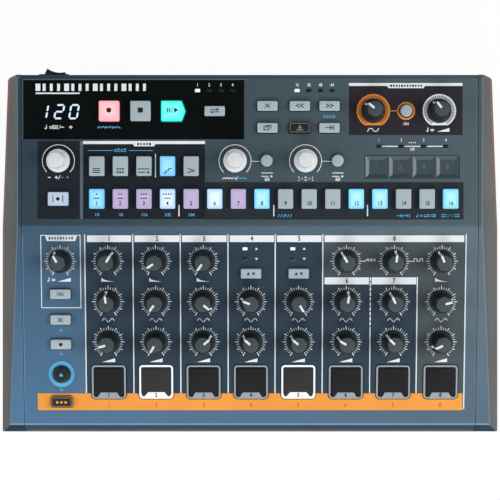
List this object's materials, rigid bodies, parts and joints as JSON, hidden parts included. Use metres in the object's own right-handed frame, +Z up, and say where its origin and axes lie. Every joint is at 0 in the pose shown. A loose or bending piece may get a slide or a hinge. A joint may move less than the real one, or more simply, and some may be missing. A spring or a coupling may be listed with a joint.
{
  "type": "drum machine",
  "caption": "Tabletop drum machine with a two-slope metal panel, finger pads, step keys, turning knobs, encoders, a dark display window and a rear power rocker.",
  "frame": {"origin": "on the table, under the middle of the whole machine's box", "axes": "+X to the player's right, +Y to the rear, +Z up"},
  "size_m": [0.316, 0.2288, 0.0512],
  "materials": {
    "panel_paint": "satin paint over folded sheet",
    "case_plastic": "fine moulded texture",
    "cheek_plastic": "fine moulded texture",
    "window_acrylic": "polished",
    "display_face": "dark face with light bars",
    "board_laminate": "solder mask",
    "strip_plastic": "satin",
    "light_lens": "clear lens",
    "frame_lens": "milky light guide",
    "socket_plastic": "satin black",
    "foot_rubber": "matt",
    "screw_steel": "zinc plated",
    "component_plastic": "moulded",
    "knob_black": "soft satin",
    "knob_white": "soft satin",
    "pad_rubber": "soft matt",
    "key_grey": "silicone matt",
    "key_lit": "lit silicone",
    "rocker_plastic": "gloss black"
  },
  "bodies": {
    "chassis": {"top_panel": "panel_paint", "bottom_case": "case_plastic", "left_end_cheek": "cheek_plastic", "right_end_cheek": "cheek_plastic", "display_window": "window_acrylic", "display_module": "display_face", "circuit_boards": "board_laminate", "touch_strip": "strip_plastic", "indicator_lights": "light_lens", "pad_light_frames": "frame_lens", "rear_sockets": "socket_plastic", "rubber_feet": "foot_rubber", "case_screws": "screw_steel", "pots_and_switches": "component_plastic"},
    "metronome_knob": {"metronome_knob": "knob_black"},
    "output_drive_knob": {"output_drive_knob": "knob_black"},
    "output_volume_knob": {"output_volume_knob": "knob_black"},
    "channel_1_upper_knob": {"channel_1_upper_knob": "knob_black"},
    "channel_1_middle_knob": {"channel_1_middle_knob": "knob_black"},
    "channel_1_lower_knob": {"channel_1_lower_knob": "knob_black"},
    "channel_2_upper_knob": {"channel_2_upper_knob": "knob_black"},
    "channel_2_middle_knob": {"channel_2_middle_knob": "knob_black"},
    "channel_2_lower_knob": {"channel_2_lower_knob": "knob_black"},
    "channel_3_upper_knob": {"channel_3_upper_knob": "knob_black"},
    "channel_3_middle_knob": {"channel_3_middle_knob": "knob_black"},
    "channel_3_lower_knob": {"channel_3_lower_knob": "knob_black"},
    "channel_4_middle_knob": {"channel_4_middle_knob": "knob_black"},
    "channel_4_lower_knob": {"channel_4_lower_knob": "knob_black"},
    "channel_5_middle_knob": {"channel_5_middle_knob": "knob_black"},
    "channel_5_lower_knob": {"channel_5_lower_knob": "knob_black"},
    "channel_6_upper_knob": {"channel_6_upper_knob": "knob_black"},
    "channel_6_middle_knob": {"channel_6_middle_knob": "knob_black"},
    "channel_6_lower_knob": {"channel_6_lower_knob": "knob_black"},
    "channel_7_upper_knob": {"channel_7_upper_knob": "knob_black"},
    "channel_7_middle_knob": {"channel_7_middle_knob": "knob_black"},
    "channel_7_lower_knob": {"channel_7_lower_knob": "knob_black"},
    "channel_8_upper_knob": {"channel_8_upper_knob": "knob_black"},
    "channel_8_middle_knob": {"channel_8_middle_knob": "knob_black"},
    "channel_8_lower_knob": {"channel_8_lower_knob": "knob_black"},
    "value_encoder_knob": {"value_encoder_knob": "knob_white"},
    "effect_encoder_knob_1": {"effect_encoder_knob_1": "knob_white"},
    "effect_encoder_knob_2": {"effect_encoder_knob_2": "knob_white"},
    "pad_1": {"pad_1": "pad_rubber"},
    "pad_2": {"pad_2": "pad_rubber"},
    "pad_3": {"pad_3": "pad_rubber"},
    "pad_4": {"pad_4": "pad_rubber"},
    "pad_5": {"pad_5": "pad_rubber"},
    "pad_6": {"pad_6": "pad_rubber"},
    "pad_7": {"pad_7": "pad_rubber"},
    "pad_8": {"pad_8": "pad_rubber"},
    "record_button": {"record_button": "key_lit"},
    "stop_button": {"stop_button": "key_lit"},
    "play_button": {"play_button": "key_lit"},
    "step_buttons_1_to_4": {"step_buttons_1_to_4": "key_lit"},
    "step_buttons_5_to_8": {"step_buttons_5_to_8": "key_lit"},
    "step_buttons_9_to_12": {"step_buttons_9_to_12": "key_lit"},
    "step_buttons_13_to_16": {"step_buttons_13_to_16": "key_lit"},
    "upper_function_buttons": {"upper_function_buttons": "key_grey"},
    "lower_function_buttons": {"lower_function_buttons": "key_grey"},
    "power_rocker": {"power_rocker": "rocker_plastic"}
  },
  "joints": [
    {"name": "metronome_knob_turn", "type": "hinge", "parent": "chassis", "child": "metronome_knob", "pos_m": [-0.1182, -0.00703, 0.03032], "axis": [0, -0.1475, 0.9891], "range_deg": [-180, 120]},
    {"name": "output_drive_knob_turn", "type": "hinge", "parent": "chassis", "child": "output_drive_knob", "pos_m": [0.0766, 0.08613, 0.03731], "axis": [0, -0.0523, 0.9986], "range_deg": [-200, 100]},
    {"name": "output_volume_knob_turn", "type": "hinge", "parent": "chassis", "child": "output_volume_knob", "pos_m": [0.1176, 0.08613, 0.03731], "axis": [0, -0.0523, 0.9986], "range_deg": [-187, 113]},
    {"name": "channel_1_upper_knob_turn", "type": "hinge", "parent": "chassis", "child": "channel_1_upper_knob", "pos_m": [-0.0886, -0.00703, 0.03032], "axis": [0, -0.1475, 0.9891], "range_deg": [-120, 180]},
    {"name": "channel_1_middle_knob_turn", "type": "hinge", "parent": "chassis", "child": "channel_1_middle_knob", "pos_m": [-0.0886, -0.03215, 0.02658], "axis": [0, -0.1475, 0.9891], "range_deg": [-158, 142]},
    {"name": "channel_1_lower_knob_turn", "type": "hinge", "parent": "chassis", "child": "channel_1_lower_knob", "pos_m": [-0.0886, -0.05727, 0.02283], "axis": [0, -0.1475, 0.9891], "range_deg": [-255, 45]},
    {"name": "channel_2_upper_knob_turn", "type": "hinge", "parent": "chassis", "child": "channel_2_upper_knob", "pos_m": [-0.05887, -0.00703, 0.03032], "axis": [0, -0.1475, 0.9891], "range_deg": [-275, 25]},
    {"name": "channel_2_middle_knob_turn", "type": "hinge", "parent": "chassis", "child": "channel_2_middle_knob", "pos_m": [-0.05887, -0.03215, 0.02658], "axis": [0, -0.1475, 0.9891], "range_deg": [-295, 5]},
    {"name": "channel_2_lower_knob_turn", "type": "hinge", "parent": "chassis", "child": "channel_2_lower_knob", "pos_m": [-0.05887, -0.05727, 0.02283], "axis": [0, -0.1475, 0.9891], "range_deg": [-300, 0]},
    {"name": "channel_3_upper_knob_turn", "type": "hinge", "parent": "chassis", "child": "channel_3_upper_knob", "pos_m": [-0.02914, -0.00703, 0.03032], "axis": [0, -0.1475, 0.9891], "range_deg": [-295, 5]},
    {"name": "channel_3_middle_knob_turn", "type": "hinge", "parent": "chassis", "child": "channel_3_middle_knob", "pos_m": [-0.02914, -0.03215, 0.02658], "axis": [0, -0.1475, 0.9891], "range_deg": [-20, 280]},
    {"name": "channel_3_lower_knob_turn", "type": "hinge", "parent": "chassis", "child": "channel_3_lower_knob", "pos_m": [-0.02914, -0.05727, 0.02283], "axis": [0, -0.1475, 0.9891], "range_deg": [-100, 200]},
    {"name": "channel_4_middle_knob_turn", "type": "hinge", "parent": "chassis", "child": "channel_4_middle_knob", "pos_m": [0.00059, -0.03215, 0.02658], "axis": [0, -0.1475, 0.9891], "range_deg": [-220, 80]},
    {"name": "channel_4_lower_knob_turn", "type": "hinge", "parent": "chassis", "child": "channel_4_lower_knob", "pos_m": [0.00059, -0.05727, 0.02283], "axis": [0, -0.1475, 0.9891], "range_deg": [-200, 100]},
    {"name": "channel_5_middle_knob_turn", "type": "hinge", "parent": "chassis", "child": "channel_5_middle_knob", "pos_m": [0.03032, -0.03215, 0.02658], "axis": [0, -0.1475, 0.9891], "range_deg": [0, 300]},
    {"name": "channel_5_lower_knob_turn", "type": "hinge", "parent": "chassis", "child": "channel_5_lower_knob", "pos_m": [0.03032, -0.05727, 0.02283], "axis": [0, -0.1475, 0.9891], "range_deg": [-200, 100]},
    {"name": "channel_6_upper_knob_turn", "type": "hinge", "parent": "chassis", "child": "channel_6_upper_knob", "pos_m": [0.06005, -0.00703, 0.03032], "axis": [0, -0.1475, 0.9891], "range_deg": [-180, 120]},
    {"name": "channel_6_middle_knob_turn", "type": "hinge", "parent": "chassis", "child": "channel_6_middle_knob", "pos_m": [0.06005, -0.03215, 0.02658], "axis": [0, -0.1475, 0.9891], "range_deg": [-140, 160]},
    {"name": "channel_6_lower_knob_turn", "type": "hinge", "parent": "chassis", "child": "channel_6_lower_knob", "pos_m": [0.06005, -0.05727, 0.02283], "axis": [0, -0.1475, 0.9891], "range_deg": [-210, 90]},
    {"name": "channel_7_upper_knob_turn", "type": "hinge", "parent": "chassis", "child": "channel_7_upper_knob", "pos_m": [0.08978, -0.00703, 0.03032], "axis": [0, -0.1475, 0.9891], "range_deg": [-145, 155]},
    {"name": "channel_7_middle_knob_turn", "type": "hinge", "parent": "chassis", "child": "channel_7_middle_knob", "pos_m": [0.08978, -0.03215, 0.02658], "axis": [0, -0.1475, 0.9891], "range_deg": [-175, 125]},
    {"name": "channel_7_lower_knob_turn", "type": "hinge", "parent": "chassis", "child": "channel_7_lower_knob", "pos_m": [0.08978, -0.05727, 0.02283], "axis": [0, -0.1475, 0.9891], "range_deg": [-195, 105]},
    {"name": "channel_8_upper_knob_turn", "type": "hinge", "parent": "chassis", "child": "channel_8_upper_knob", "pos_m": [0.11951, -0.00703, 0.03032], "axis": [0, -0.1475, 0.9891], "range_deg": [-172, 128]},
    {"name": "channel_8_middle_knob_turn", "type": "hinge", "parent": "chassis", "child": "channel_8_middle_knob", "pos_m": [0.11951, -0.03215, 0.02658], "axis": [0, -0.1475, 0.9891], "range_deg": [-75, 225]},
    {"name": "channel_8_lower_knob_turn", "type": "hinge", "parent": "chassis", "child": "channel_8_lower_knob", "pos_m": [0.11951, -0.05727, 0.02283], "axis": [0, -0.1475, 0.9891], "range_deg": [-265, 35]},
    {"name": "value_encoder_knob_turn", "type": "hinge", "parent": "chassis", "child": "value_encoder_knob", "pos_m": [-0.119, 0.05518, 0.03569], "axis": [0, -0.0523, 0.9986], "continuous": true},
    {"name": "effect_encoder_knob_1_turn", "type": "hinge", "parent": "chassis", "child": "effect_encoder_knob_1", "pos_m": [-0.0093, 0.05518, 0.03569], "axis": [0, -0.0523, 0.9986], "continuous": true},
    {"name": "effect_encoder_knob_2_turn", "type": "hinge", "parent": "chassis", "child": "effect_encoder_knob_2", "pos_m": [0.0345, 0.05518, 0.03569], "axis": [0, -0.0523, 0.9986], "continuous": true},
    {"name": "pad_1_press", "type": "slide", "parent": "chassis", "child": "pad_1", "axis": [0, 0.1475, -0.9891], "range_m": [0, 0.001], "stiffness_N_per_m": 5000},
    {"name": "pad_2_press", "type": "slide", "parent": "chassis", "child": "pad_2", "axis": [0, 0.1475, -0.9891], "range_m": [0, 0.001], "stiffness_N_per_m": 5000},
    {"name": "pad_3_press", "type": "slide", "parent": "chassis", "child": "pad_3", "axis": [0, 0.1475, -0.9891], "range_m": [0, 0.001], "stiffness_N_per_m": 5000},
    {"name": "pad_4_press", "type": "slide", "parent": "chassis", "child": "pad_4", "axis": [0, 0.1475, -0.9891], "range_m": [0, 0.001], "stiffness_N_per_m": 5000},
    {"name": "pad_5_press", "type": "slide", "parent": "chassis", "child": "pad_5", "axis": [0, 0.1475, -0.9891], "range_m": [0, 0.001], "stiffness_N_per_m": 5000},
    {"name": "pad_6_press", "type": "slide", "parent": "chassis", "child": "pad_6", "axis": [0, 0.1475, -0.9891], "range_m": [0, 0.001], "stiffness_N_per_m": 5000},
    {"name": "pad_7_press", "type": "slide", "parent": "chassis", "child": "pad_7", "axis": [0, 0.1475, -0.9891], "range_m": [0, 0.001], "stiffness_N_per_m": 5000},
    {"name": "pad_8_press", "type": "slide", "parent": "chassis", "child": "pad_8", "axis": [0, 0.1475, -0.9891], "range_m": [0, 0.001], "stiffness_N_per_m": 5000},
    {"name": "record_button_press", "type": "slide", "parent": "chassis", "child": "record_button", "axis": [0, 0.0523, -0.9986], "range_m": [0, 0.0008], "stiffness_N_per_m": 1500},
    {"name": "stop_button_press", "type": "slide", "parent": "chassis", "child": "stop_button", "axis": [0, 0.0523, -0.9986], "range_m": [0, 0.0008], "stiffness_N_per_m": 1500},
    {"name": "play_button_press", "type": "slide", "parent": "chassis", "child": "play_button", "axis": [0, 0.0523, -0.9986], "range_m": [0, 0.0008], "stiffness_N_per_m": 1500},
    {"name": "step_buttons_1_to_4_press", "type": "slide", "parent": "chassis", "child": "step_buttons_1_to_4", "axis": [0, 0.0523, -0.9986], "range_m": [0, 0.0008], "stiffness_N_per_m": 6000},
    {"name": "step_buttons_5_to_8_press", "type": "slide", "parent": "chassis", "child": "step_buttons_5_to_8", "axis": [0, 0.0523, -0.9986], "range_m": [0, 0.0008], "stiffness_N_per_m": 6000},
    {"name": "step_buttons_9_to_12_press", "type": "slide", "parent": "chassis", "child": "step_buttons_9_to_12", "axis": [0, 0.0523, -0.9986], "range_m": [0, 0.0008], "stiffness_N_per_m": 6000},
    {"name": "step_buttons_13_to_16_press", "type": "slide", "parent": "chassis", "child": "step_buttons_13_to_16", "axis": [0, 0.0523, -0.9986], "range_m": [0, 0.0008], "stiffness_N_per_m": 6000},
    {"name": "upper_function_buttons_press", "type": "slide", "parent": "chassis", "child": "upper_function_buttons", "axis": [0, 0.0523, -0.9986], "range_m": [0, 0.0008], "stiffness_N_per_m": 24000},
    {"name": "lower_function_buttons_press", "type": "slide", "parent": "chassis", "child": "lower_function_buttons", "axis": [0, 0.1475, -0.9891], "range_m": [0, 0.0008], "stiffness_N_per_m": 10500},
    {"name": "power_rocker_turn", "type": "hinge", "parent": "chassis", "child": "power_rocker", "pos_m": [-0.123, 0.10735, 0.02397], "axis": [0, 0, 1], "range_deg": [0, 24]}
  ]
}
